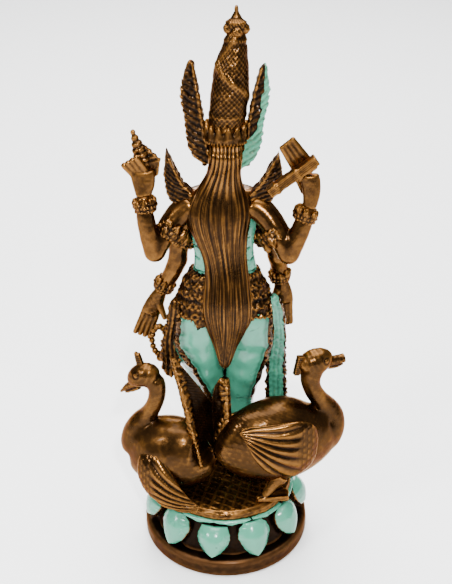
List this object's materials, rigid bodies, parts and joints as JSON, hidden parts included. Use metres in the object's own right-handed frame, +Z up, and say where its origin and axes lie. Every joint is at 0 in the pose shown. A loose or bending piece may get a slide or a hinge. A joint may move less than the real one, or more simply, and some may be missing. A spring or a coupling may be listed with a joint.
{
  "type": "hindu deity statue",
  "caption": "Standing four-armed goddess with a tall crown and long hair on a round lotus base, with a swan and a peacock behind her. Rests on its flat underside.",
  "frame": {"origin": "centre of the base plate's flat underside", "axes": "+Z up, the goddess faces -Y, her left is +X"},
  "size_m": [0.1264, 0.096, 0.3],
  "materials": {
    "bronze": "lacquered, brown-gold, dark in the recesses",
    "dark_bronze": "satin dark brown patina",
    "turquoise": "glossy turquoise paint with dark cracks"
  },
  "bodies": {
    "root": {"arm_front_left": "bronze", "arm_front_right": "bronze", "arm_rear_left": "bronze", "arm_rear_right": "bronze", "armlet_front_left": "bronze", "armlet_front_right": "bronze", "armlet_rear_left": "bronze", "armlet_rear_right": "bronze", "base_plate": "dark_bronze", "bracelet_front_left": "bronze", "bracelet_front_right": "bronze", "bracelet_rear_left": "bronze", "bracelet_rear_right": "bronze", "collar": "bronze", "crown_band": "bronze", "crown_cone": "bronze", "crown_finial": "bronze", "crown_wing_left": "bronze", "crown_wing_right": "bronze", "earring_left": "bronze", "earring_right": "bronze", "epaulette_left": "bronze", "epaulette_right": "bronze", "feet": "bronze", "hair": "bronze", "hand_front_left": "bronze", "hand_front_right": "bronze", "hand_rear_left": "bronze", "hand_rear_right": "bronze", "head": "bronze", "hip_belt": "bronze", "lotus_bud": "bronze", "lotus_drum": "dark_bronze", "lotus_petal_tips": "turquoise", "lotus_petals": "turquoise", "palm_leaf_book": "bronze", "peacock_beak": "bronze", "peacock_body": "bronze", "peacock_crest": "bronze", "peacock_legs": "bronze", "peacock_tail": "bronze", "peacock_wing_front": "bronze", "peacock_wing_rear": "bronze", "prayer_beads": "bronze", "sash_left": "bronze", "sash_right": "bronze", "seat_disc": "dark_bronze", "skirt_left": "turquoise", "skirt_pleat": "dark_bronze", "skirt_right": "turquoise", "swan_bill": "bronze", "swan_body": "bronze", "swan_crest": "bronze", "swan_legs": "bronze", "swan_tail": "bronze", "swan_wing_front": "bronze", "swan_wing_rear": "bronze", "torso": "turquoise"}
  },
  "joints": []
}
